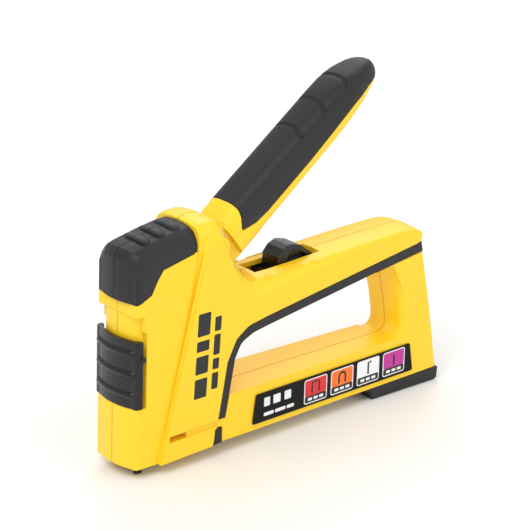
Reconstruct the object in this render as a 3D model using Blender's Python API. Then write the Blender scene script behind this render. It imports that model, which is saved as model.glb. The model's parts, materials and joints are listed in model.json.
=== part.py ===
"""Lever staple gun: two moulded shells around a striker, a staple magazine and a squeeze handle.

The gun stands on its nose tip and its foot. Nose at -X, rear at +X, up is +Z, and Y = 0 is the
seam between the shells. Outlines are written in millimetres and become metres in new_object().
"""

import bpy
import bmesh
from math import cos, pi, radians, sin, sqrt, tan
from mathutils import Matrix, Vector

MM = 0.001
GAP = 0.3                 # clearance between neighbouring pieces
SEAM = 0.15               # each shell half stops this far from the centre plane
WALL = 2.3                # moulded wall

# Driving dimensions, millimetres
NOSE_HALF = 13.7          # half width of the nose
PANEL_HALF = 16.2         # half width of the raised side panels
LOOP_HALF = 14.9          # half width of the finger loop at its front
TAPER = 0.0333            # how fast the loop narrows towards the rear
NOSE_FRONT = -92.4        # seam line of the nose
REAR = 93.0               # rear of the foot
NOSE_BOTTOM = 5.0
RAIL_BOTTOM = 6.5
RAIL_TOP = 27.4
ARM_TOP = 77.0
TOWER_TOP = 110.3
CAP_TOP = 108.6
PIVOT = (-46.0, 97.0)     # handle pin
HANDLE_ANGLE = radians(37.5)
HANDLE_LENGTH = 115.0
HANDLE_HALF = 10.9
SPRING_X = -75.0          # centre line of the main spring
BLADE_X = -84.4
ROD_Z = 10.9              # pusher rod above the base plane
SCREWS = ((-55.0, 68.0), (-52.0, 33.0), (40.0, 71.0), (72.5, 58.0), (77.0, 31.5))


# ---------------------------------------------------------------- helpers

def clear_scene():
    for obj in list(bpy.data.objects):
        bpy.data.objects.remove(obj, do_unlink=True)


def material(name, color, roughness, metallic=0.0):
    made = bpy.data.materials.new(name)
    made.use_nodes = True
    shader = made.node_tree.nodes["Principled BSDF"]
    shader.inputs["Base Color"].default_value = (*color, 1.0)
    shader.inputs["Roughness"].default_value = roughness
    shader.inputs["Metallic"].default_value = metallic
    return made


def new_object(name, bm):
    """Turns a bmesh in millimetres into an object in metres, with its faces pointing out."""
    bmesh.ops.remove_doubles(bm, verts=bm.verts, dist=1e-4)
    bmesh.ops.recalc_face_normals(bm, faces=bm.faces)
    if bm.calc_volume(signed=True) < 0:
        bmesh.ops.reverse_faces(bm, faces=bm.faces)
    bmesh.ops.scale(bm, vec=(MM, MM, MM), verts=bm.verts)
    mesh = bpy.data.meshes.new(name)
    bm.to_mesh(mesh)
    bm.free()
    obj = bpy.data.objects.new(name, mesh)
    bpy.context.scene.collection.objects.link(obj)
    return obj


def rounded(corners, steps=4):
    """Outline through corners (a, b) or (a, b, radius), with the radiused corners as arcs."""
    points = []
    count = len(corners)
    for i, corner in enumerate(corners):
        here = Vector(corner[:2])
        if len(corner) < 3 or corner[2] <= 0:
            points.append(tuple(here))
            continue
        back = Vector(corners[i - 1][:2]) - here
        ahead = Vector(corners[(i + 1) % count][:2]) - here
        half = back.angle(ahead) / 2
        reach = min(corner[2] / tan(half), 0.49 * back.length, 0.49 * ahead.length)
        start = here + back.normalized() * reach
        end = here + ahead.normalized() * reach
        for k in range(steps + 1):
            t = k / steps
            points.append(tuple(start.lerp(here, t).lerp(here.lerp(end, t), t)))
    return points


def extrude(name, outline, axis, low, high):
    """Straight solid: the outline lies across the axis and runs from low to high along it."""
    bm = bmesh.new()
    place = {"x": lambda a, b, c: (c, a, b), "y": lambda a, b, c: (a, c, b), "z": lambda a, b,
             c: (a, b, c)}[axis]
    ends = [[bm.verts.new(place(a, b, level)) for a, b in outline] for level in (low, high)]
    bm.faces.new(ends[0])
    bm.faces.new(list(reversed(ends[1])))
    for i in range(len(outline)):
        j = (i + 1) % len(outline)
        bm.faces.new((ends[0][i], ends[0][j], ends[1][j], ends[1][i]))
    return new_object(name, bm)


def slab(name, outline, side, inner, outer):
    """A side-view outline (x, z) between two distances from the centre plane, on one side of it."""
    return extrude(name, outline, "y", side * inner, side * outer)


def block(name, x, y, z):
    return extrude(name, [(x[0], z[0]), (x[1], z[0]), (x[1], z[1]), (x[0], z[1])], "y", y[0], y[1])


def circle(centre, radius, count=24):
    return [(centre[0] + radius * cos(2 * pi * k / count), centre[1] + radius * sin(2 * pi * k / count))
            for k in range(count)]


def rod(name, centre, radius, axis, low, high, count=24):
    return extrude(name, circle(centre, radius, count), axis, low, high)


def stack(name, rings):
    """Skin through rings of equally many points, capped at both ends."""
    bm = bmesh.new()
    made = [[bm.verts.new(point) for point in ring] for ring in rings]
    size = len(made[0])
    for a, b in zip(made, made[1:]):
        for k in range(size):
            n = (k + 1) % size
            bm.faces.new((a[k], a[n], b[n], b[k]))
    bm.faces.new(made[0])
    bm.faces.new(list(reversed(made[-1])))
    return new_object(name, bm)


def combine(obj, other, operation, solver="EXACT"):
    """Boolean of two objects, applied at once; the second object is used up."""
    modifier = obj.modifiers.new("boolean", "BOOLEAN")
    modifier.operation = operation
    modifier.solver = solver
    modifier.object = other
    bpy.context.view_layer.update()
    graph = bpy.context.evaluated_depsgraph_get()
    mesh = bpy.data.meshes.new_from_object(obj.evaluated_get(graph))
    obj.modifiers.clear()
    obj.data = mesh
    bpy.data.objects.remove(other, do_unlink=True)
    return obj


def join(obj, *others):
    for other in others:
        combine(obj, other, "UNION")
    return obj


def cut(obj, *others):
    for other in others:
        combine(obj, other, "DIFFERENCE")
    return obj


def fuse(obj, *others):
    """join() for the shells: the exact solver leaves open edges where their softened solids meet."""
    for other in others:
        combine(obj, other, "UNION", "MANIFOLD")
    return obj


def carve(obj, *others):
    """cut() for the shells."""
    for other in others:
        combine(obj, other, "DIFFERENCE", "MANIFOLD")
    return obj


def keep(obj, other):
    return combine(obj, other, "INTERSECT")


def soften(obj, width, segments, wanted):
    """Bevels the edges whose two ends (in millimetres) both satisfy wanted(point)."""
    bm = bmesh.new()
    bm.from_mesh(obj.data)
    edges = [e for e in bm.edges if all(wanted(v.co / MM) for v in e.verts)]
    bmesh.ops.bevel(bm, geom=edges, offset=width * MM, segments=segments, profile=0.5, affect="EDGES")
    bm.to_mesh(obj.data)
    bm.free()
    return obj


def finish(obj, name, made_of):
    obj.name = name
    obj.data.name = name
    obj.data.materials.clear()
    obj.data.materials.append(made_of)
    obj.data.shade_smooth()
    obj.data.set_sharp_from_angle(angle=radians(35))
    return obj


def pivot_at(obj, x, y, z):
    """Moves the object's origin to a point of its joint axis and leaves its shape in place."""
    place = Vector((x, y, z)) * MM
    obj.data.transform(Matrix.Translation(-place))
    obj.location = place
    return obj


def coil(name, place, radius, wire, length, turns, around=12, sides=6):
    """Helix with ground flat-ish ends; place(a, b, along) puts a point of it in the world."""
    rings = []
    count = int(turns * around)
    for i in range(count + 1):
        turn = 2 * pi * i / around
        along = wire + (length - 2 * wire) * i / count
        ring = []
        for k in range(sides):
            bend = 2 * pi * k / sides
            reach = radius + wire * cos(bend)
            ring.append(place(reach * cos(turn), reach * sin(turn), along + wire * sin(bend)))
        rings.append(ring)
    return stack(name, rings)


# ---------------------------------------------------------------- shared outlines

def loop_half(x):
    """Half width of the finger loop and the staple rail at x."""
    return LOOP_HALF - TAPER * max(0.0, x + 32.0)


def panel_half(x):
    """Half width of the side above the grip strip at x."""
    return PANEL_HALF - 0.0385 * max(0.0, x + 42.0)


def strip_half(x):
    """Half width over the grip strip at x: between the panel above it and the loop below it."""
    return (panel_half(x) + loop_half(x)) / 2


def plan(half, start, end, side, extra=0.0, over=2.0):
    """Top-view outline (x, y) of one half, from `over` past the centre plane out to half(x) + extra."""
    stops = [start, -32.0, end] if start < -32.0 else [start, end]
    return [(start, -side * over)] + [(x, side * (half(x) + extra)) for x in stops] + [(end, -side * over)]


def nose_plan(side, inset=0.0, end=-40.0, over=1.0):
    """Top-view outline of half of the nose: a bowed front, a rounded corner and a straight side."""
    front = NOSE_FRONT + inset
    half = NOSE_HALF - inset
    bow = [(front + 2.0 * (y / 11.0) ** 2, side * y) for y in (0.0, 3.7, 7.3, half - 3.0)]
    corner = [(front + 4.2 - 2.6 * cos(a), side * (half - 3.0 + 3.0 * sin(a)))
              for a in (radians(35), radians(60), radians(90))]
    return [(front, -side * over)] + bow + corner + [(end, side * half), (end, -side * over)]


def crown(name, line, side, round_by, bowed=0.0, drop=0.0, bottom=40.0):
    """Solid under a crowned top: (x, z) stations of its ridge line, falling away sideways by round_by(y)."""
    rings = []
    for x, z in line:
        top = [(x + bowed * (y / 11.0) ** 2, side * y, z - drop - round_by(abs(y))) for y in (-3.0,
                                                                                              0.0, 4.0,
                                                                                              8.0)]
        top += [(x + bowed * 1.3, side * y, z - drop - round_by(y)) for y in (11.0, 12.8, 14.2, 15.4, 18.5)]
        rings.append([(x, -side * 3.0, bottom)] + top + [(x, side * 18.5, bottom)])
    return stack(name, rings)


def cap_fall(y):
    """How far the cap's top falls from the seam out to y."""
    return 0.012 * y * y + 0.25 * max(0.0, y - 9.4) ** 2


def arm_fall(y):
    """How far the arm's top falls from the seam out to y."""
    return 0.0085 * y * y + 0.34 * max(0.0, y - 11.6) ** 2


CAP_RIDGE = [(-93.5, 96.5), (-92.3, 99.4), (-91.3, 101.9), (-89.6, 103.2), (-86.0, 104.2), (-81.0, 105.2),
             (-73.0, 106.8), (-65.0, 108.0), (-57.0, 108.6), (-49.0, 108.8)]
BACK_RIDGE = [(-62.0, 106.9), (-58.2, 109.2), (-55.0, 110.2), (-50.5, 110.4), (-47.0, 109.8),
              (-44.6, 107.4), (-41.2, 100.2),
              (-36.2, 89.2), (-31.0, 82.0), (-26.4, 78.6), (-21.0, 77.4), (-10.0, 77.4), (0.0, 77.8),
              (24.0, 78.9), (45.0, 79.6),
              (66.0, 80.0), (71.5, 79.7), (75.5, 78.7), (78.4, 77.0), (80.2, 74.4), (81.5, 70.0)]
CAP_EDGE = [(-90.1, 80.6), (-82.6, 84.0), (-79.5, 89.7), (-76.3, 94.0), (-60.0, 97.4), (-58.4, 98.4),
            (-56.3, 106.0)]
CAP_RIBS = ((-80.0, 105.4), (-71.8, 107.0), (-63.8, 108.1))
STRIP_OUTER = [(-46.0, 17.6), (-42.8, 34.7), (-41.3, 43.5), (-36.5, 53.3, 9.0), (-29.7, 57.7, 9.0),
               (-19.1, 59.4),
               (78.2, 71.6)]
STRIP_INNER = [(-41.4, 17.6), (-38.7, 31.8), (-36.4, 44.0), (-33.0, 50.6, 7.0), (-26.0, 53.5, 7.0),
               (-18.9, 54.6),
               (50.0, 63.4), (79.4, 66.8)]
TOWER_REAR = [(-44.7, 108.2), (-41.1, 100.3), (-36.2, 89.1), (-30.3, 80.9), (-23.5, 77.0)]


def loop_hole(extra=0.0):
    """Side-view outline of the finger hole; extra opens it for the liner of the grip strip."""
    top = [(-38.6 - extra, 34.0), (-36.4 - extra, 44.0), (-33.0 - extra, 50.4 + extra, 7.0),
           (-26.0, 53.5 + extra, 7.0), (-18.9, 54.6 + extra), (48.0, 63.0 + extra)]
    rear = [(61.1, 64.0 + extra * 0.5, 2.5), (65.5, 46.0), (68.8, RAIL_TOP, 6.0)]
    return rounded(top + rear + [(-39.6 - extra, RAIL_TOP, 5.0)])


# ---------------------------------------------------------------- the two shells

def shell(side, name, yellow):
    """One moulded half: nose, raised panel, arm, rear column and staple rail, hollow inside."""
    nose = extrude("nose", nose_plan(side), "z", NOSE_BOTTOM, 97.9)
    upper = rounded([(-95, NOSE_BOTTOM)] + [(x, z - GAP) for x, z in CAP_EDGE[:6]] + [(-52, 98),
                                                                                      (-52,
                                                                                       NOSE_BOTTOM)])
    keep(nose, slab("upper", upper, side, -3, 20))
    core = extrude("core", nose_plan(side, 2.3, -50.5, 1.6), "z", 70.0, CAP_TOP)
    keep(core, crown("core_top", CAP_RIDGE, side, cap_fall, 2.0, 2.4))
    panel = slab("panel", rounded(
        [(-78.1, NOSE_BOTTOM), (-56.3, 98.0), (-54.4, 106.0), (-53.0, TOWER_TOP - 0.6)] + TOWER_REAR
        + [(-18.0, 82.0), (79.6, 82.0), (79.6, 73.0), (78.6, 71.5)]
        + [(p[0], p[1]) for p in reversed(STRIP_OUTER[:-1])] + [(-46.5, 15.0), (-49.0, NOSE_BOTTOM + 1)]),
        side, -3.0, 20.0)
    keep(panel, extrude("plan", plan(panel_half, -80.0, 82.0, side, 0.0, 2.2), "z", 0, 120))
    soften(panel, 2.4, 2, lambda p: abs(p.y) > 9 and (p.z > 70 or p.x < -54.3 and p.z > 5.5))
    above_nose = [(-90.0, 140.0), (-62.4, 140.0)]
    keep(panel, crown("back", above_nose + BACK_RIDGE, side, arm_fall, bottom=0.5))
    loop = slab("loop", rounded(
        [(-50.0, RAIL_BOTTOM), (91.0, RAIL_BOTTOM, 1.0), (85.2, 38.0), (78.2, 69.0, 3.0), (74.0, 73.0),
         (-46.0, 66.0)]),
        side, -4.0, 20.0)
    keep(loop, extrude("plan", plan(loop_half, -51.0, 93.0, side, 0.0, 2.8), "z", 0, 80))
    cut(loop, slab("hole", loop_hole(), side, -6.0, 22.0))
    edge = lambda p: abs(p.y) > 9 and -30 < p.x < 69.6 and 26.5 < p.z < 62.0
    soften(loop, 3.2, 3, lambda p: edge(p) and (p.z < 28.5 or p.x > 57))
    tower = slab("tower", [(-57.9, 70), (-57.9, 116), (-46.4, 116), (-46.4, 70)], side, -0.4, 14.6)
    keep(tower, crown("back", BACK_RIDGE, side, arm_fall, bottom=0.5))
    body = fuse(nose, core, panel, loop, tower)

    # hollows: the works in the nose and tower, the handle's way in, the arm, the column and the rail
    carve(body, extrude("works", nose_plan(side, 2.3 + WALL, -60.0, 5.0), "z", 27.0, 97.9))
    carve(body, block("seat_way", (-82.0, -59.0), (-side * 5.0, side * 8.8), (90.0, 99.5)))
    carve(body, block("fork_way", (-86.0, -59.5), (-side * 5.0, side * 10.4), (73.0, 97.9)))
    carve(body, block("fork_top", (-68.0, -59.5), (side * 5.0, side * 10.4), (90.0, 99.6)))
    carve(body, block("channel", (-87.3, -70.0), (-side * 5.0, side * 8.6), (-1.0, 32.0)))
    carve(body, slab("mid", [(-63, 44), (-63, 103.0), (-45, 103.0), (-45, 84), (-49, 60), (-52, 44)],
                     side, -5, 10.5))
    carve(body, slab("hub_way", [(-57.0, 81), (-57.0, 107.4), (-45.7, 108.1), (-45.7, 81)], side, -5, 10.3))
    way_in = [(-46.0, 78.0), (-46.0, 125), (-20, 125), (-20.0, ARM_TOP + 0.6), (-24.0, ARM_TOP - 1.6),
              (-36.0, 76.0)]
    carve(body, slab("way_in", way_in, side, -5, 12.2))
    carve(body, slab("arm", [(-34, 66.5), (-34, 74.6), (66, 75.4), (66, 72.6), (30, 69.6)],
                   side, -5, 9.4))
    carve(body, slab("slot", [(-18.4, 70), (-18.4, 82), (19.8, 82), (19.8, 70)], side, -5, 5.7))
    carve(body, slab("column", [(67.5, 67), (74.5, 67.5), (82.5, 34), (72.5, 34), (68.5, 50)], side,
                     -5, 8.6))
    carve(body, slab("rail", [(-84.0, -1), (-84.0, 23.8), (92.0, 23.8), (92.0, -1)], side, -5, 7.8))
    carve(body, slab("tab_way", [(-95, 37.5), (-95, 62.0), (-80, 62.0), (-80, 37.5)], side, -5, 3.2))

    # the recess that the jam slider rides in, the side groove and the strip's channel
    ring = extrude("ring", nose_plan(side, -3.0, -84.9, 6.0), "z", 33.0, 74.8)
    cut(ring, block("step", (-86.3, -80.0), (side * 8.0, side * 20.0), (67.6, 80.0)))
    cut(ring, extrude("ring_core", nose_plan(side, 2.3, -40.0, 8.0), "z", 20, 80))
    carve(body, ring)
    carve(body, slab("groove", [(-73.5, 14.1), (-73.5, 17.1), (-46.0, 17.6), (-46.0, 14.9)], side, 15.0, 20))
    carve(body, slab("window", [(-73.4, 14.2), (-73.4, 17.0), (-63.5, 17.0), (-63.5, 14.3)], side, 10.5, 20))
    strip_line = [(p[0] - 0.2 if i < 3 else p[0], p[1] + (0.2 if i else -0.2), *p[2:])
                  for i, p in enumerate(STRIP_OUTER)]
    strip_line += [(x + 0.2, z - 0.2, *r) for x, z, *r in reversed(STRIP_INNER)]
    strip_way = slab("strip_way", rounded(strip_line), side, 5.0, 20.0)
    carve(body, cut(strip_way, extrude("inner", plan(strip_half, -60.0, 90.0, side, -2.6), "z", 0, 100)))
    carve(body, slab("foot_way", [(-48.7, 4), (-47.7, 13.8), (-43.1, 13.8), (-43.1, 4)], side, 13.4, 20))

    # bosses for the handle pin and the screws
    bosses = [rod("pin_boss", PIVOT, 5.0, "y", side * 10.7, side * (PANEL_HALF - 1))]
    bosses += [rod("boss", spot, 4.3, "y", side * SEAM, side * (14.6 if spot[0] < -40 else 10.1))
               for spot in SCREWS]
    fuse(body, *bosses)
    carve(body, rod("pin_hole", PIVOT, 3.0 + GAP, "y", side * 5.0, side * 15.0))
    for x, z in SCREWS:
        if side > 0:
            carve(body, rod("shank", (x, z), 1.8, "y", -1.0, 25.0, 16),
                rod("head", (x, z), 3.4, "y", screw_seat(x), 25.0, 16))
        else:
            carve(body, rod("thread", (x, z), 1.8, "y", -8.4, 1.0, 16))
    carve(body, block("seam", (-100, 100), (-side * 9.0, side * SEAM), (-5, 130)))
    return finish(body, name, yellow)


def screw_seat(x):
    """Distance from the centre plane to the underside of a screw head at x."""
    return (PANEL_HALF if x < -40 else loop_half(x)) - 3.0


def cap(side, name, black):
    """Soft impact cap over one half of the tower's front corner, with three ribs across the seam."""
    body = extrude("cap", nose_plan(side), "z", 78.0, CAP_TOP + 2.0)
    keep(body, crown("top", CAP_RIDGE, side, cap_fall, 2.0))
    outline = CAP_EDGE + [(-56.6, 112.0), (-96.0, 112.0), (-96.0, 80.6)]
    keep(body, slab("shape", outline, side, -1, 20))
    for x, z in CAP_RIBS:
        rings = []
        for y, share in ((0.0, 1.0), (2.5, 1.0), (4.6, 0.92), (6.2, 0.72), (7.3, 0.45), (7.8, 0.12)):
            centre = z - cap_fall(y) - 0.1
            rings.append([(x + 2.9 * share * px, side * y, centre + 1.15 * share * pz) for px,
                          pz in circle((0, 0), 1.0, 14)])
        join(body, stack("rib", rings))
    core = extrude("core", nose_plan(side, 2.0), "z", 60.0, CAP_TOP)
    keep(core, crown("core_top", CAP_RIDGE, side, cap_fall, 2.0, 2.1))
    cut(body, core)
    cut(body, slab("tower_gap", [(-58.2, 70), (-58.2, 112), (-50, 112), (-50, 70)], side, -1, 14.9))
    cut(body, block("seam", (-100, -40), (-side * 5.0, side * SEAM), (60, 130)))
    return finish(body, name, black)


def grip_strip(side, name, black):
    """Soft strip along the finger side of the loop, with the liner that the fingers press on."""
    band = slab("band", rounded(STRIP_OUTER + list(reversed(STRIP_INNER))), side, 6.0, 20.0)
    keep(band, extrude("plan", plan(strip_half, -50.0, 80.0, side), "z", 0, 90))
    cut(band, extrude("inner", plan(strip_half, -60.0, 90.0, side, -2.3), "z", -5, 100))
    soften(band, 0.4, 1, lambda p: abs(p.y) > strip_half(p.x) - 0.2)
    return finish(band, name, black)


def lower_strip(side, name, black):
    """Short end of the soft strip below the groove, flush with the panel's foot."""
    outline = [(-48.4, NOSE_BOTTOM + 1.2), (-47.4, 13.5), (-43.4, 13.5), (-43.4, NOSE_BOTTOM + 1.4)]
    body = slab("low", outline, side, 13.7, 15.9)
    return finish(soften(body, 0.4, 1, lambda p: abs(p.y) > 15), name, black)


def label(side, name, black):
    """Printed plate on the staple rail, on its tapering side."""
    inner = [(-25.6, 9.6), (-23.6, 23.4), (72.8, 23.0), (75.2, 9.2)]
    body = slab("label", rounded([(x, z, 0.8) for x, z in inner], 2), side, 8.0, 20.0)
    keep(body, extrude("plan", plan(loop_half, -32.0, 92.0, side, 0.75), "z", 0, 40))
    cut(body, extrude("plan", plan(loop_half, -40.0, 95.0, side, GAP), "z", -5, 45))
    return finish(body, name, black)


# ---------------------------------------------------------------- handle

def handle_point(s, t, y):
    """World point from the handle's own axes: s along it from the pin, t across it, upwards."""
    c, n = cos(HANDLE_ANGLE), sin(HANDLE_ANGLE)
    return (PIVOT[0] + s * c - t * n, y, PIVOT[1] + s * n + t * c)


def handle_edges(s):
    """Lowest and highest t of the handle at s, before its end is rounded off."""
    top = 3.4 - 0.4 * max(0.0, (16.0 - s) / 4.0) ** 2 - 0.022 * (s - 20) - 0.0095 * max(0.0, s - 86) ** 2
    bottom = -17.5 + 0.006 * (s - 20) + 0.0048 * max(0.0, s - 76) ** 2
    return bottom, top


def end_round(s, start):
    """Share of its full size that the handle keeps at s, where its end is rounded from start on."""
    along = max(0.0, (s - start) / (HANDLE_LENGTH - start))
    return max(sqrt(max(0.0, 1.0 - along ** 2)), 0.1)


def handle_ring(s, inset=0.0, points=24):
    """Rounded-rectangle section of the handle at s."""
    bottom, top = handle_edges(min(s, 104.0))
    middle = (bottom + top) / 2
    tall = max((top - bottom) / 2 * end_round(s, 103.0) - inset, 0.5)
    wide = max(HANDLE_HALF * end_round(s, 96.0) - inset, 0.5)
    middle -= 1.6 * max(0.0, (s - 103.0) / 12.0)
    ring = []
    for k in range(points):
        a = 2 * pi * (k + 0.5) / points
        power = 0.62 if sin(a) > 0 else 0.5
        y = wide * abs(cos(a)) ** power * (1 if cos(a) > 0 else -1)
        t = middle + tall * abs(sin(a)) ** power * (1 if sin(a) > 0 else -1)
        ring.append(handle_point(s, t, y))
    return ring


HANDLE_STOPS = (9.0, 13.0, 20.0, 40.0, 60.0, 76.0, 86.0, 93.0, 98.0, 102.0, 105.5, 108.5, 111.0, 112.8,
                114.0, 114.8)
GRIP_LINE = [(20.0, 14.0), (20.0, 3.4), (19.4, 1.2), (17.9, -1.2), (16.3, -3.4), (15.0, -5.4),
             (15.2, -6.7), (18.4, -8.1),
             (22.0, -9.5), (30.0, -10.5), (60.0, -10.8), (80.0, -10.2), (92.0, -9.6), (103.0, -9.4),
             (108.5, -10.8),
             (112.4, -20.0), (122.0, -20.0), (122.0, 14.0)]


def grip_region(name, grow, half):
    line = [(s - grow if s < 100 else s, t - grow if t < 0 else t) for s, t in GRIP_LINE]
    spots = [handle_point(s, t, 0.0) for s, t in line]
    return extrude(name, [(p[0], p[2]) for p in spots], "y", -half, half)


def handle_lever(yellow):
    """Moulded lever: hub, underside and the core that the soft grip wraps."""
    body = stack("lever", [handle_ring(s) for s in HANDLE_STOPS])
    skin = grip_region("skin", GAP, 15.0)
    core = stack("core", [handle_ring(s, 2.4) for s in HANDLE_STOPS[:-4]])
    cut(skin, core)
    cut(body, skin)
    hub = rod("hub", PIVOT, 10.6, "y", -8.3, 8.3, 28)
    web = extrude("web", [(p[0], p[2]) for p in (handle_point(s, t, 0) for s, t in
                  ((-3.0, 3.2), (10.0, 3.2), (13.0, -2.0), (24.0, -2.0), (24.0, -17.4), (3.0, -17.4),
                   (-3.0, -10.4)))], "y", -7.6, 7.6)
    join(body, hub, web)
    cut(body, rod("pin_way", PIVOT, 3.0 + GAP, "y", -12, 12))
    under = [handle_point(s, t, 0) for s, t in ((22, -30), (22, -15.0), (88, -13.6), (88, -30))]
    cut(body, extrude("under", [(p[0], p[2]) for p in under], "y", -7.2, 7.2))
    return pivot_at(finish(body, "handle_lever", yellow), PIVOT[0], 0, PIVOT[1])


def handle_grip(black):
    """Soft overmould on the top and sides of the handle, open along its underside."""
    body = stack("grip", [handle_ring(s) for s in HANDLE_STOPS])
    keep(body, grip_region("region", 0.0, 15.0))
    cut(body, stack("core", [handle_ring(s, 2.1) for s in HANDLE_STOPS[:-4] + (111.4,)]))
    return pivot_at(finish(body, "handle_grip", black), PIVOT[0], 0, PIVOT[1])


def handle_pin(steel):
    return finish(rod("pin", PIVOT, 3.0, "y", -14.6, 14.6, 24), "handle_pin", steel)


def lift_fork(steel):
    """Steel fork on the handle pin: its two tips lift the striker by its wings."""
    side_view = [(-77.8, 73.4), (-79.3, 74.8), (-79.0, 76.3), (-78.1, 76.7), (-76.9, 76.7),
                 (-75.2, 78.0), (-62.0, 89.8),
                 (-51.0, 101.8), (-46.0, 104.2), (-41.0, 102.8), (-38.4, 97.0), (-41.0, 90.6), (-50.0, 88.0),
                 (-62.0, 83.0), (-71.0, 75.6)]
    arms = [slab("arm", side_view, side, 8.6, 9.8) for side in (-1, 1)]
    web = extrude("web", [(-62.6, 84.0), (-62.6, 88.4), (-60.8, 89.8), (-60.8, 85.0)], "y", -9.2, 9.2)
    body = join(web, *arms)
    cut(body, rod("pin_way", PIVOT, 3.0 + GAP, "y", -12, 12))
    return pivot_at(finish(body, "lift_fork", steel), PIVOT[0], 0, PIVOT[1])


# ---------------------------------------------------------------- works in the nose

def jam_slider(black):
    """Finger slider round the nose that opens the staple outlet; it slides up."""
    halves = []
    for side in (-1, 1):
        half = extrude("half", nose_plan(side, -0.5, -87.2), "z", 33.4, 64.0)
        cut(half, extrude("inside", nose_plan(side, 2.3 - GAP, -80.0), "z", 20, 70))
        halves.append(half)
    body = join(halves[0], halves[1])
    ribs = [rod("rib", (NOSE_FRONT + 0.9, z), 1.5, "y", -10.6, 10.6, 12) for z in (39.2, 49.0, 58.8)]
    keep_off = extrude("keep_off", nose_plan(1, 2.3 - GAP, -80.0), "z", 20, 70)
    join(keep_off, extrude("keep_off", nose_plan(-1, 2.3 - GAP, -80.0), "z", 20, 70))
    join(body, *ribs)
    cut(body, keep_off)
    join(body, block("tab", (-91.3, -86.9), (-2.7, 2.7), (41.0, 47.0)),
         *[rod("detent", (-87.4, 56.0), 1.5, "y", side * 12.6, side * (NOSE_HALF + 1.1),
               12) for side in (-1, 1)])
    return finish(body, "jam_slider", black)


def nose_plate(steel):
    """Front wall of the staple outlet, carried by the jam slider."""
    body = block("plate", (-86.5, -85.5), (-6.6, 6.6), (7.4, 49.0))
    return finish(body, "nose_plate", steel)


def drive_guide(steel):
    """Steel channel that the blade runs in; its tips stand out of the nose and meet the work."""
    outline = [(-85.2, -7.9), (-82.2, -7.9), (-82.2, 7.9), (-85.2, 7.9), (-85.2, 5.8), (-83.4, 5.8),
               (-83.4, -5.8), (-85.2, -5.8)]
    body = extrude("guide", outline, "z", 0.0, 52.0)
    cut(body, block("outlet", (-90, -80), (-5.4, 5.4), (-1.0, 16.0)),
        block("low_gap", (-90, -80), (-5.4, 5.4), (-1.0, 4.0)))
    return finish(body, "drive_guide", steel)


def striker_blade(steel):
    body = extrude("blade", [(-5.3, 7.2), (5.3, 7.2), (5.3, 74.0), (3.8, 78.0), (-3.8, 78.0), (-5.3, 74.0)],
                   "x", BLADE_X - 0.5, BLADE_X + 0.5)
    return finish(body, "striker_blade", steel)


def striker_head(zinc):
    """Cast weight behind the blade: the spring pushes on its ledge, the fork lifts its wings."""
    front = block("front", (-83.6, -81.6), (-7.0, 7.0), (58.0, 80.5))
    ledge = block("ledge", (-82.0, -68.5), (-7.0, 7.0), (58.0, 61.5))
    body = join(front, ledge)
    for side in (-1, 1):
        wing = block("wing", (-83.6, -78.2), (side * 6.9, side * 10.1), (77.5, 80.5))
        join(body, wing)
    join(body, rod("nub", (SPRING_X, 0.0), 2.8, "z", 61.0, 66.0, 16))
    return finish(body, "striker_head", zinc)


def main_spring(steel):
    place = lambda a, b, along: (SPRING_X + a, b, 61.8 + along)
    return finish(coil("main_spring", place, 4.6, 0.9, 33.8, 9.0), "main_spring", steel)


def spring_seat(zinc):
    body = rod("seat", (SPRING_X, 0.0), 6.3, "z", 95.9, 98.6, 24)
    join(body, rod("nub", (SPRING_X, 0.0), 2.8, "z", 91.8, 97.0, 16),
         block("bridge", (-76.4, -72.0), (-8.5, 8.5), (97.2, 99.0)))
    return finish(body, "spring_seat", zinc)


def stop_bumper(rubber):
    body = block("bumper", (-80.6, -68.8), (-6.4, 6.4), (52.5, 57.6))
    return finish(soften(body, 0.8, 2, lambda p: p.z > 57), "stop_bumper", rubber)


def bumper_plate(steel):
    """Pressed bracket across the nose that holds the bumper up."""
    body = block("bracket", (-81.4, -64.0), (-8.4, 8.4), (50.6, 52.2))
    return finish(body, "bumper_bracket", steel)


# ---------------------------------------------------------------- selector

def power_selector(black):
    """Wedge on top of the arm that sets the blow; it slides along its slot."""
    profile = rounded([(-4.6, 73.0), (-4.4, 80.6), (-1.6, 83.6, 2.0), (2.6, 85.3, 3.0), (8.6, 83.8, 3.0),
                       (17.0, 77.4, 2.0), (18.6, 75.0), (18.6, 73.0)], 3)
    body = extrude("wedge", profile, "y", -5.1, 5.1)
    for side in (-1, 1):
        cut(body, slab("hollow", [(0.4, 77.6), (3.6, 82.6), (8.4, 81.2), (14.0, 77.6)], side, 3.4, 8))
    join(body, block("foot", (-8.0, 24.0), (-8.4, 8.4), (71.0, 73.9)))
    return finish(body, "power_selector", black)


def selector_spring(steel):
    """Leaf under the selector that clicks it into its places."""
    line = [(-22.0, 67.5), (-4.0, 68.4), (2.0, 70.0), (8.0, 69.0), (27.5, 69.95)]
    profile = line + [(x, z + 0.6) for x, z in reversed(line)]
    return finish(extrude("leaf", profile, "y", -3.5, 3.5), "selector_spring", steel)


# ---------------------------------------------------------------- magazine

def magazine_channel(steel):
    """Fixed steel channel inside the rail that the staple tray slides in."""
    outline = [(-7.5, 8.0), (-7.5, 20.4), (7.5, 20.4), (7.5, 8.0), (6.7, 8.0), (6.7, 19.6),
               (-6.7, 19.6), (-6.7, 8.0)]
    return finish(extrude("channel", outline, "x", -81.6, 78.0), "magazine_channel", steel)


def magazine_tray(steel):
    """Staple tray with its end wall, pulled out to the rear with the foot."""
    outline = [(-6.3, 6.9), (6.3, 6.9), (6.3, 15.0), (5.5, 15.0), (5.5, 7.7), (-5.5, 7.7),
               (-5.5, 15.0), (-6.3, 15.0)]
    body = extrude("tray", outline, "x", -81.6, 87.6)
    join(body, block("front", (-81.6, -80.8), (-5.8, 5.8), (7.0, 9.0)))
    return finish(body, "magazine_tray", steel)


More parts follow.
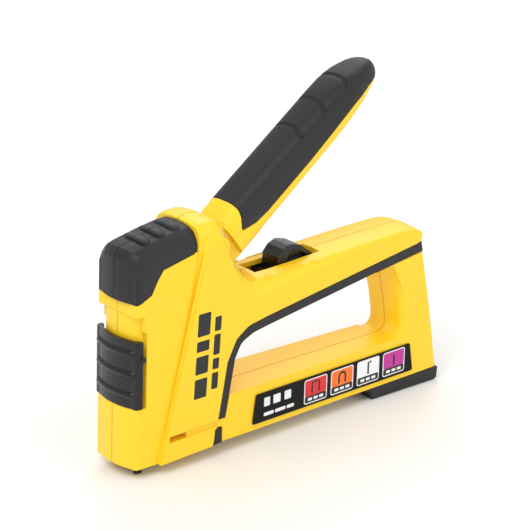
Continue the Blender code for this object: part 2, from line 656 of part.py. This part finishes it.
def staple_pusher(black):
    body = soften(block("pusher", (-58.0, -46.0), (-5.1, 5.1), (8.1, 14.4)), 0.6, 1, lambda p: p.z > 14)
    cut(body, rod("way", (0.0, ROD_Z), 1.3 + GAP, "x", -70, -30, 16))
    return finish(body, "staple_pusher", black)


def pusher_rod(steel):
    return finish(rod("rod", (0.0, ROD_Z), 1.3, "x", -79.8, 87.6, 12), "pusher_rod", steel)


def pusher_spring(steel):
    place = lambda a, b, along: (-45.6 + along, a, ROD_Z + b)
    return finish(coil("pusher_spring", place, 2.15, 0.35, 132.8, 22, 8, 5), "pusher_spring", steel)


def end_cap(black):
    """Foot of the magazine: it closes the rail's end and holds the gun level on the bench."""
    half = 11.2
    view = rounded([(46.2, 6.2), (48.0, 4.8), (50.2, 3.6), (51.2, 0.0, 1.6), (REAR - 0.4, 0.0, 2.0),
                    (REAR, 6.2)], 3)
    body = extrude("foot", view, "y", -half, half)
    soften(body, 0.5, 1, lambda p: abs(p.y) > 11 and 47.5 < p.x)
    join(body, block("neck", (80.0, 90.2), (-6.6, 6.6), (3.0, 6.6)),
         block("plug", (87.9, 90.0), (-7.0, 7.0), (5.0, 19.0)))
    cut(body, block("latch_way", (84.0, 95.0), (-3.4, 3.4), (13.7, 30.0)))
    return finish(body, "magazine_end_cap", black)


def magazine_latch(black):
    """Thumb catch at the rear that lets the magazine slide out."""
    body = block("latch", (84.0, 90.0), (-3.0, 3.0), (15.2, 18.8))
    join(body, block("hook", (82.0, 85.0), (-3.0, 3.0), (17.0, 19.0)))
    return finish(soften(body, 0.4, 1, lambda p: p.x > 89), "magazine_latch", black)


def case_screw(index, x, z, steel):
    """Countersunk-pan screw through the right shell into the left one."""
    seat = screw_seat(x)
    body = join(rod("head", (x, z), 3.0, "y", seat + GAP, seat + 2.4, 20),
                rod("shank", (x, z), 1.4, "y", -7.6, seat + 1.0, 12))
    cut(body, *[block("cross", (x - a, x + a), (seat + 1.4, seat + 5), (z - b, z + b))
                for a, b in ((1.7, 0.4), (0.4, 1.7))])
    return finish(body, "case_screw_%d" % index, steel)


# ---------------------------------------------------------------- assembly

def main():
    clear_scene()
    yellow = material("yellow_abs", (0.95, 0.62, 0.02), 0.42)
    black = material("black_soft", (0.045, 0.043, 0.045), 0.62)
    hard_black = material("black_hard", (0.012, 0.012, 0.013), 0.32)
    print_black = material("label_black", (0.004, 0.004, 0.005), 0.35)
    steel = material("steel", (0.52, 0.53, 0.55), 0.32, 1.0)
    dark_steel = material("dark_steel", (0.07, 0.07, 0.075), 0.4, 0.9)
    zinc = material("zinc", (0.45, 0.46, 0.47), 0.45, 1.0)
    rubber = material("rubber", (0.02, 0.02, 0.02), 0.8)

    for side, word in ((-1, "left"), (1, "right")):
        shell(side, word + "_shell", yellow)
        cap(side, word + "_bumper_cap", black)
        grip_strip(side, word + "_grip_strip", black)
        lower_strip(side, word + "_lower_strip", black)
        label(side, word + "_label", print_black)
    handle_lever(yellow)
    handle_grip(black)
    handle_pin(steel)
    lift_fork(steel)
    jam_slider(hard_black)
    nose_plate(steel)
    drive_guide(dark_steel)
    striker_blade(steel)
    striker_head(zinc)
    main_spring(steel)
    spring_seat(zinc)
    stop_bumper(rubber)
    bumper_plate(steel)
    power_selector(hard_black)
    selector_spring(steel)
    magazine_channel(steel)
    magazine_tray(steel)
    staple_pusher(hard_black)
    pusher_rod(steel)
    pusher_spring(steel)
    end_cap(black)
    magazine_latch(hard_black)
    for index, (x, z) in enumerate(SCREWS):
        case_screw(index + 1, x, z, dark_steel)


main()
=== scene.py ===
"""Looks of the lever staple gun: materials, moulded detail, floor, light and camera."""
import bmesh
import bpy
import json
from math import cos, pi, radians, sin
from mathutils import Matrix, Vector
from mathutils.bvhtree import BVHTree

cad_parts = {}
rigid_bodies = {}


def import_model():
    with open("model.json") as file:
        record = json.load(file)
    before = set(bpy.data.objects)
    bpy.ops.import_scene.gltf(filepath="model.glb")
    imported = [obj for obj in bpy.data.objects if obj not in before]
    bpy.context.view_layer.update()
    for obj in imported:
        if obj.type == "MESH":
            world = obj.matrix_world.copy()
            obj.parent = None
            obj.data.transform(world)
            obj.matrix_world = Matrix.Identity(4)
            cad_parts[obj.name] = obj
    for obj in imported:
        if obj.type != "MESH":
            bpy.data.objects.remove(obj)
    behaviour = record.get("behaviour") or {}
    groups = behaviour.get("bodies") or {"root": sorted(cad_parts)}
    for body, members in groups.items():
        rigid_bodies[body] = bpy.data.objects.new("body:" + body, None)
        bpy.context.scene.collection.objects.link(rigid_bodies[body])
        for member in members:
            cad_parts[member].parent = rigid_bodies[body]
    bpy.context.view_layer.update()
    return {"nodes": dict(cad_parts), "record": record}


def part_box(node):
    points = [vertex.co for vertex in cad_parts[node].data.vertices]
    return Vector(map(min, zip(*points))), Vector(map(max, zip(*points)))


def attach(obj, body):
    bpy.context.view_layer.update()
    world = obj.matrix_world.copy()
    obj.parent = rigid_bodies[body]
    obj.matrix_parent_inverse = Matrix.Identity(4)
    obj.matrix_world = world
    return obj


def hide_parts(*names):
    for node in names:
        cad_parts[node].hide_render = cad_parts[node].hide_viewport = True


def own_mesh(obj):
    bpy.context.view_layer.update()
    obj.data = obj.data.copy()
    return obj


MM = 0.001

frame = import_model()
nodes = frame["nodes"]


# ---------------------------------------------------------------- materials

def grain_material(name, color, roughness, metallic=0.0, mottle=0.06, grain=900.0, bump=0.02, round_mm=0.35,
                   shine=0.5):
    """Moulded or metal surface: uneven colour and gloss, fine surface grain and softened edges."""
    made = bpy.data.materials.new(name)
    made.use_nodes = True
    tree = made.node_tree
    shader = tree.nodes["Principled BSDF"]
    shader.inputs["Metallic"].default_value = metallic
    shader.inputs["Specular IOR Level"].default_value = shine
    place = tree.nodes.new("ShaderNodeTexCoord")
    wide = tree.nodes.new("ShaderNodeTexNoise")
    wide.inputs["Scale"].default_value = 28.0
    wide.inputs["Detail"].default_value = 4.0
    tree.links.new(place.outputs["Object"], wide.inputs["Vector"])
    fine = tree.nodes.new("ShaderNodeTexNoise")
    fine.inputs["Scale"].default_value = grain
    fine.inputs["Detail"].default_value = 2.0
    tree.links.new(place.outputs["Object"], fine.inputs["Vector"])
    ramp = tree.nodes.new("ShaderNodeMapRange")
    ramp.inputs["From Min"].default_value = 0.3
    ramp.inputs["From Max"].default_value = 0.7
    tree.links.new(wide.outputs["Fac"], ramp.inputs["Value"])
    mix = tree.nodes.new("ShaderNodeMix")
    mix.data_type = "RGBA"
    mix.inputs["A"].default_value = (*[c * (1 - mottle) for c in color], 1.0)
    mix.inputs["B"].default_value = (*[min(1.0, c * (1 + mottle)) for c in color], 1.0)
    tree.links.new(ramp.outputs["Result"], mix.inputs["Factor"])
    tree.links.new(mix.outputs["Result"], shader.inputs["Base Color"])
    gloss = tree.nodes.new("ShaderNodeMapRange")
    gloss.inputs["To Min"].default_value = roughness - 0.05
    gloss.inputs["To Max"].default_value = roughness + 0.06
    tree.links.new(fine.outputs["Fac"], gloss.inputs["Value"])
    tree.links.new(gloss.outputs["Result"], shader.inputs["Roughness"])
    edge = tree.nodes.new("ShaderNodeBevel")
    edge.samples = 6
    edge.inputs["Radius"].default_value = round_mm * MM
    rough = tree.nodes.new("ShaderNodeBump")
    rough.inputs["Strength"].default_value = bump * 10
    rough.inputs["Distance"].default_value = 0.0001
    tree.links.new(fine.outputs["Fac"], rough.inputs["Height"])
    tree.links.new(edge.outputs["Normal"], rough.inputs["Normal"])
    tree.links.new(rough.outputs["Normal"], shader.inputs["Normal"])
    return made


MATERIALS = {
    "yellow_abs": grain_material("yellow_abs", (1.0, 0.65, 0.016), 0.36, grain=1400, bump=0.012,
                                 mottle=0.012, shine=0.4,
                                 round_mm=0.7),
    "black_soft": grain_material("black_soft", (0.014, 0.0125, 0.0145), 0.50, grain=1600, bump=0.05,
                                 mottle=0.12, shine=0.42),
    "black_hard": grain_material("black_hard", (0.0045, 0.0045, 0.005), 0.26, grain=1500, bump=0.02,
                                 mottle=0.15,
                                 shine=0.45),
    "label_black": grain_material("label_black", (0.002, 0.002, 0.0026), 0.5, grain=2000, bump=0.01,
                                  mottle=0.1, shine=0.2,
                                  round_mm=0.1),
    "steel": grain_material("steel", (0.55, 0.56, 0.58), 0.32, metallic=1.0, grain=1800, bump=0.03),
    "dark_steel": grain_material("dark_steel", (0.05, 0.05, 0.055), 0.42, metallic=0.8, grain=1500,
                                 bump=0.04),
    "zinc": grain_material("zinc", (0.45, 0.46, 0.47), 0.5, metallic=1.0, grain=900, bump=0.08),
    "rubber": grain_material("rubber", (0.02, 0.02, 0.021), 0.8, grain=900, bump=0.06),
}
slots = {entry["node"]: entry["material_slot"] for entry in frame["record"]["subparts"]}
for name, obj in nodes.items():
    obj.data.materials.clear()
    obj.data.materials.append(MATERIALS[slots[name]])
    obj.data.polygons.foreach_set("material_index", [0] * len(obj.data.polygons))
    obj.data.polygons.foreach_set("use_smooth", [True] * len(obj.data.polygons))
    obj.data.set_sharp_from_angle(angle=radians(32))
    even = obj.modifiers.new("even", "WEIGHTED_NORMAL")
    even.keep_sharp = True


def tint(name, color):
    """Printing ink on the plates and the panels."""
    MATERIALS[name] = grain_material(name, color, 0.36, grain=2200, bump=0.008, mottle=0.05, round_mm=0.05)


tint("ink_red", (0.72, 0.012, 0.02))
tint("ink_orange", (0.95, 0.17, 0.005))
tint("ink_white", (0.86, 0.87, 0.89))
tint("ink_magenta", (0.52, 0.015, 0.30))
tint("ink_black", (0.004, 0.004, 0.005))


# ---------------------------------------------------------------- building detail

def mesh_object(name, bm, material):
    """Closes the bmesh into a linked object with one of the materials."""
    bmesh.ops.recalc_face_normals(bm, faces=bm.faces)
    mesh = bpy.data.meshes.new(name)
    bm.to_mesh(mesh)
    bm.free()
    mesh.materials.append(MATERIALS[material])
    obj = bpy.data.objects.new(name, mesh)
    bpy.context.scene.collection.objects.link(obj)
    return obj


def prism(bm, outline, low, high, place):
    """Closed prism over an outline of (u, v) points, from depth low to high; place gives the world point."""
    near = [bm.verts.new(place(u, v, high)) for u, v in outline]
    far = [bm.verts.new(place(u, v, low)) for u, v in outline]
    bm.faces.new(near)
    bm.faces.new(list(reversed(far)))
    for i in range(len(outline)):
        j = (i + 1) % len(outline)
        bm.faces.new((near[j], near[i], far[i], far[j]))


def round_rect(u0, v0, u1, v1, radius, lean=0.0, steps=4):
    """Rounded rectangle, its top shifted sideways by lean."""
    points = []
    for cu, cv, start in ((u1 - radius, v1 - radius, 0), (u0 + radius, v1 - radius, 90),
                          (u0 + radius, v0 + radius, 180), (u1 - radius, v0 + radius, 270)):
        for k in range(steps + 1):
            a = radians(start + 90 * k / steps)
            v = cv + radius * sin(a)
            points.append((cu + radius * cos(a) + lean * (v - v0) / (v1 - v0), v))
    return points


def stroke(points, width):
    """Outline of a band of that width along an open line of points."""
    left, right = [], []
    for i, (u, v) in enumerate(points):
        a = Vector(points[max(i - 1, 0)])
        b = Vector(points[min(i + 1, len(points) - 1)])
        along = (b - a).normalized()
        left.append((u - along.y * width / 2, v + along.x * width / 2))
        right.append((u + along.y * width / 2, v - along.x * width / 2))
    return left + list(reversed(right))


def printed(name, outline, place, material, low=-0.02, high=0.03):
    """Thin print on the case, from low to high millimetres off the surface."""
    bm = bmesh.new()
    prism(bm, outline, low * MM, high * MM, place)
    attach(mesh_object(name, bm, material), "frame")


def skin(node):
    """The node's surface as it stands in the row frame, to lay printing and marks on."""
    obj = nodes[node]
    points = [obj.matrix_world @ v.co for v in obj.data.vertices]
    return BVHTree.FromPolygons(points, [tuple(p.vertices) for p in obj.data.polygons])


def on_side(node, side):
    """Places (x, z, depth) on the outer side of a node."""
    tree = skin(node)

    def place(u, v, depth):
        hit = tree.ray_cast(Vector((u * MM, side * 0.1, v * MM)), Vector((0, -side, 0)))[0]
        return Vector((u * MM, hit.y + side * depth, v * MM))
    return place


def on_top(node):
    """Places (x, y, depth) on the top of a node."""
    tree = skin(node)

    def place(u, v, depth):
        hit = tree.ray_cast(Vector((u * MM, v * MM, 0.3)), Vector((0, 0, -1)))[0]
        return Vector((u * MM, v * MM, hit.z + depth))
    return place


# ---------------------------------------------------------------- rail labels

def pictogram(kind, u):
    """Generic fastener outlines for the four tiles: flat staple, round staple, brad and pin."""
    if kind == "flat":
        return [(u - 2.2, 15.2), (u - 2.2, 20.4), (u + 2.2, 20.4), (u + 2.2, 15.2)]
    if kind == "round":
        arch = [(u - 2.0 * cos(radians(a)), 18.4 + 2.0 * sin(radians(a))) for a in range(0, 181, 20)]
        return [(u - 2.0, 15.2)] + arch + [(u + 2.0, 15.2)]
    if kind == "brad":
        return [(u, 15.0), (u, 20.6), (u + 1.8, 20.6)]
    return [(u, 15.0), (u, 20.2)]


def dress_label(side):
    """Heading bars and the four coloured tiles of one label; the right label mirrors the left in place."""
    place = on_side("left_label" if side < 0 else "right_label", side)
    word = "left" if side < 0 else "right"
    flip = 1 if side < 0 else -1
    middle = 24.8

    def at(u):
        return middle + flip * (u - middle)

    def mark(name, outline, material, low=-0.02, high=0.03):
        printed("%s_%s" % (word, name), [(at(u), v) for u, v in outline], place, material, low, high)

    rows = (("heading", 16.6, 20.8, ((-19.0, -15.4), (-13.4, -9.0), (-6.6, -2.6))),
            ("note", 12.0, 13.6, ((-19.0, -13.0), (-12.2, -5.8), (-5.0, -0.6))))
    for title, v0, v1, spans in rows:
        for k, (u0, u1) in enumerate(spans):
            mark("label_%s_bar_%d" % (title, k), round_rect(u0, v0, u1, v1, 0.5), "ink_white")
    tiles = (("flat", "ink_red"), ("round", "ink_orange"), ("brad", "ink_white"), ("pin", "ink_magenta"))
    for k, (kind, ink) in enumerate(tiles):
        u0 = 5.6 + 16.6 * k
        u1 = u0 + 14.2
        mark("tile_%d_edge" % k, round_rect(u0, 10.5, u1, 22.3, 1.2), "ink_white", -0.03, 0.02)
        mark("tile_%d_field" % k, round_rect(u0 + 0.5, 14.2, u1 - 0.5, 21.8, 0.8), ink, -0.02, 0.04)
        mark("tile_%d_foot" % k, round_rect(u0 + 0.5, 11.0, u1 - 0.5, 14.2, 0.7), "ink_black", -0.02, 0.04)
        mark("tile_%d_sign" % k, stroke(pictogram(kind, (u0 + u1) / 2), 1.1), "ink_black", 0.0, 0.06)
        for j in range(3):
            left = u0 + 2.4 + 3.5 * j
            mark("tile_%d_size_%d" % (k, j), round_rect(left, 11.9, left + 2.5, 13.2, 0.3),
                 "ink_white", 0.0, 0.06)


for side in (-1, 1):
    dress_label(side)


# ---------------------------------------------------------------- printing on the side panels

def dress_panel():
    """Two rows of plain bars running up the left panel; the right one has the screw heads instead."""
    place = on_side("left_shell", -1)
    rows = (("wide", -60.4, -53.4, ((31.0, 40.0), (42.2, 50.4), (52.6, 57.4), (59.6, 70.0))),
            ("narrow", -50.8, -47.2, ((33.4, 41.0), (42.6, 47.6), (49.2, 58.6), (60.2, 66.8))))
    for title, u0, u1, spans in rows:
        for k, (v0, v1) in enumerate(spans):
            lean = 2.0 * (v1 - v0) / 40.0
            outline = round_rect(u0 + 0.05 * (v0 - 31), v0, u1 + 0.05 * (v0 - 31), v1, 0.6, lean)
            printed("left_panel_%s_bar_%d" % (title, k), outline, place, "ink_black", -0.06, 0.03)


dress_panel()


# ---------------------------------------------------------------- raised marks on the arm

def dress_arm(side):
    """Plus sign, long bar and minus sign that go with the power selector."""
    place = on_top("left_shell" if side < 0 else "right_shell")
    word = "left" if side < 0 else "right"
    y = side * 11.6
    marks = (("plus_bar", round_rect(-17.4, y - 0.5, -13.4, y + 0.5, 0.4)),
             ("plus_post", round_rect(-15.9, y - 2.0, -14.9, y + 2.0, 0.4)),
             ("line", round_rect(-9.0, y - 0.5, 5.0, y + 0.5, 0.4)),
             ("minus_bar", round_rect(9.6, y - 0.5, 13.6, y + 0.5, 0.4)))
    for title, outline in marks:
        bm = bmesh.new()
        prism(bm, outline, -0.4 * MM, 0.35 * MM, place)
        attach(mesh_object("%s_arm_%s" % (word, title), bm, "yellow_abs"), "frame")


for side in (-1, 1):
    dress_arm(side)


# ---------------------------------------------------------------- grip of the handle

def handle_axes():
    """Pivot, direction along the handle and direction out of its top, from the pin's box and the grip's."""
    low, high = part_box("handle_pin")
    pivot = (low + high) / 2
    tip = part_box("handle_grip")[1]
    along = Vector((tip.x - pivot.x, 0, tip.z - 3.0 * MM - pivot.z)).normalized()
    return pivot, along, Vector((-along.z, 0, along.x))


def tube(bm, centres, radius, around=10):
    """Closed round tube through the points, its sections square to the line."""
    rings = []
    for i, point in enumerate(centres):
        line = (centres[min(i + 1, len(centres) - 1)] - centres[max(i - 1, 0)]).normalized()
        first = line.cross(Vector((0.3, 0, 1))).normalized()
        second = line.cross(first)
        turns = [2 * pi * k / around for k in range(around)]
        rings.append([bm.verts.new(point + radius * (first * cos(a) + second * sin(a))) for a in turns])
    for a, b in zip(rings, rings[1:]):
        for k in range(around):
            j = (k + 1) % around
            bm.faces.new((a[k], a[j], b[j], b[k]))
    bm.faces.new(list(reversed(rings[0])))
    bm.faces.new(rings[-1])


def grooved_grip():
    """The soft grip with its three curved finger grooves across the top."""
    grip = nodes["handle_grip"]
    tree = skin("handle_grip")
    pivot, along, out = handle_axes()
    mesh = grip.data.copy()
    mesh.transform(grip.matrix_world)
    obj = bpy.data.objects.new("grip_moulding", mesh)
    bpy.context.scene.collection.objects.link(obj)
    for k, reach in enumerate(GROOVES):
        centres = []
        for step in range(-9, 10):
            y = step * 1.05 * MM
            back = 2.6 * MM * (step / 9.0) ** 2
            start = pivot + along * (reach * MM - back) + out * 0.04 + Vector((0, y, 0))
            hit = tree.ray_cast(start, -out)[0]
            centres.append((hit if hit else start - out * 0.04) + out * 0.25 * MM)
        bm = bmesh.new()
        tube(bm, centres, 1.05 * MM)
        cutter = mesh_object("groove_cutter_%d" % k, bm, "black_soft")
        cut = obj.modifiers.new("groove_%d" % k, "BOOLEAN")
        cut.operation = "DIFFERENCE"
        cut.object = cutter
        cutter.hide_render = True
    bpy.context.view_layer.update()
    graph = bpy.context.evaluated_depsgraph_get()
    made = bpy.data.meshes.new_from_object(obj.evaluated_get(graph))
    obj.modifiers.clear()
    obj.data = made
    made.polygons.foreach_set("use_smooth", [True] * len(made.polygons))
    made.set_sharp_from_angle(angle=radians(38))
    even = obj.modifiers.new("even", "WEIGHTED_NORMAL")
    even.keep_sharp = True
    for k in range(len(GROOVES)):
        bpy.data.objects.remove(bpy.data.objects["groove_cutter_%d" % k])
    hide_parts("handle_grip")
    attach(obj, "handle")


GROOVES = (97.0, 81.2, 65.0)
grooved_grip()


# ---------------------------------------------------------------- slider on the nose

def ribbed_slider():
    """The nose slider with three round-ended ribs that follow its bowed front."""
    tree = skin("jam_slider")
    low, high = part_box("jam_slider")
    step = (high.z - low.z) / 6
    probe = low.z + 1.9 * step
    face = []
    for k in range(-13, 14):
        start = Vector((low.x - 0.05, k * 1.02 * MM, probe))
        face.append(tree.ray_cast(start, Vector((1, 0, 0)))[0])
    wall = 1.7 * MM
    corner = 1.4 * MM
    back = high.x - 1.3 * MM
    wide = [side * tree.ray_cast(Vector((back - 0.5 * MM, side * 0.05, probe)),
                                 Vector((0, -side, 0)))[0].y
            for side in (-1, 1)]
    outline = [(back, -wide[0] + wall), (back, -wide[0]), (face[0].x + corner, -wide[0])]
    outline += [(p.x, p.y) for p in face]
    outline += [(face[-1].x + corner, wide[1]), (back, wide[1]), (back, wide[1] - wall)]
    outline += [(p.x + wall, p.y) for p in reversed(face[2:-2])]
    bm = bmesh.new()
    prism(bm, outline, low.z, high.z, lambda u, v, depth: Vector((u, v, depth)))
    body = mesh_object("slider_moulding", bm, "black_hard")
    body.data.polygons.foreach_set("use_smooth", [True] * len(body.data.polygons))
    body.data.set_sharp_from_angle(angle=radians(38))
    detent_radius = 1.4 * MM
    detent_rise = 7.3 * MM
    for side in (-1, 1):
        bm = bmesh.new()
        middle = (low.z + high.z) / 2 + detent_rise
        stub = Vector((high.x - 1.5 * MM, side * (wide[1] - 0.3 * MM), middle))
        tube(bm, [stub, Vector((stub.x, side * high.y, middle))], detent_radius, 16)
        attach(mesh_object("slider_detent_%s" % ("left" if side < 0 else "right"), bm, "black_hard"), "jam")
    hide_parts("jam_slider")
    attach(body, "jam")
    rib_radius = 1.9 * MM
    rib_setback = 0.85 * MM
    for k, share in enumerate((0.19, 0.5, 0.81)):
        z = low.z + share * (high.z - low.z)
        line = [Vector((p.x + rib_setback, p.y, z)) for p in face[2:-2]]
        bm = bmesh.new()
        tube(bm, line, rib_radius, 18)
        for end in (line[0], line[-1]):
            bmesh.ops.create_uvsphere(bm, u_segments=18, v_segments=10, radius=rib_radius,
                                      matrix=Matrix.Translation(end))
        rib = mesh_object("slider_rib_%d" % k, bm, "black_hard")
        rib.data.polygons.foreach_set("use_smooth", [True] * len(rib.data.polygons))
        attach(rib, "jam")


ribbed_slider()


# ---------------------------------------------------------------- springs

def shortening(node, body):
    """The spring, copied at full length as a piece on the body that holds its far end."""
    mesh = nodes[node].data.copy()
    mesh.transform(nodes[node].matrix_world)
    obj = bpy.data.objects.new(node + "_coil", mesh)
    bpy.context.scene.collection.objects.link(obj)
    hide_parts(node)
    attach(obj, body)
    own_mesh(obj)


shortening("main_spring", "frame")
shortening("pusher_spring", "magazine")


# ---------------------------------------------------------------- floor, light, camera

LIGHTS = (("key", (-1.1, -0.6, 1.5), 1.0, 15.0),   # name, place, size, watts
          ("fill", (0.9, -1.5, 0.9), 1.2, 4.5),
          ("rim", (0.9, 1.1, 1.3), 1.0, 7.0))
AIM = Vector((0, 0, 0.06))
SENSOR_WIDTH = 36.0
FOCAL_LENGTH = 2900.0      # in the same unit as IMAGE_WIDTH
IMAGE_WIDTH = 530.0
EYE = (-0.80265, -0.88858, 0.52818)


def studio():
    """Pale floor, white surroundings and three soft lamps."""
    bm = bmesh.new()
    bmesh.ops.create_grid(bm, x_segments=1, y_segments=1, size=6.0)
    mesh = bpy.data.meshes.new("floor")
    bm.to_mesh(mesh)
    bm.free()
    floor = bpy.data.objects.new("floor", mesh)
    floor.location = (0, 0, -0.0002)
    bpy.context.scene.collection.objects.link(floor)
    pale = bpy.data.materials.new("pale_floor")
    pale.use_nodes = True
    shader = pale.node_tree.nodes["Principled BSDF"]
    shader.inputs["Base Color"].default_value = (0.92, 0.92, 0.92, 1)
    shader.inputs["Roughness"].default_value = 0.7
    mesh.materials.append(pale)
    world = bpy.data.worlds.new("studio")
    bpy.context.scene.world = world
    world.use_nodes = True
    world.node_tree.nodes["Background"].inputs["Color"].default_value = (1, 1, 1, 1)
    world.node_tree.nodes["Background"].inputs["Strength"].default_value = 0.75
    for name, place, size, power in LIGHTS:
        light = bpy.data.lights.new(name, "AREA")
        light.energy = power
        light.size = size
        lamp = bpy.data.objects.new(name, light)
        lamp.location = place
        lamp.rotation_euler = (AIM - Vector(place)).to_track_quat("-Z", "Y").to_euler()
        bpy.context.scene.collection.objects.link(lamp)


def camera():
    """Long lens from the front left, a little above, with the slight lean of the view."""
    azimuth, elevation, roll = radians(-131.832), radians(20.756), radians(1.7)
    back = Vector((cos(elevation) * cos(azimuth), cos(elevation) * sin(azimuth), sin(elevation)))
    right = Vector((0, 0, 1)).cross(back).normalized()
    up = back.cross(right)
    turned_right = right * cos(roll) + up * sin(roll)
    turned_up = up * cos(roll) - right * sin(roll)
    lens = bpy.data.cameras.new("camera")
    lens.lens = SENSOR_WIDTH * FOCAL_LENGTH / IMAGE_WIDTH
    lens.sensor_width = SENSOR_WIDTH
    lens.clip_start = 0.05
    eye = bpy.data.objects.new("camera", lens)
    turn = Matrix((turned_right, turned_up, back)).transposed()
    eye.matrix_world = Matrix.Translation(EYE) @ turn.to_4x4()
    bpy.context.scene.collection.objects.link(eye)
    bpy.context.scene.camera = eye


studio()
camera()
bpy.context.scene.view_settings.view_transform = "Standard"
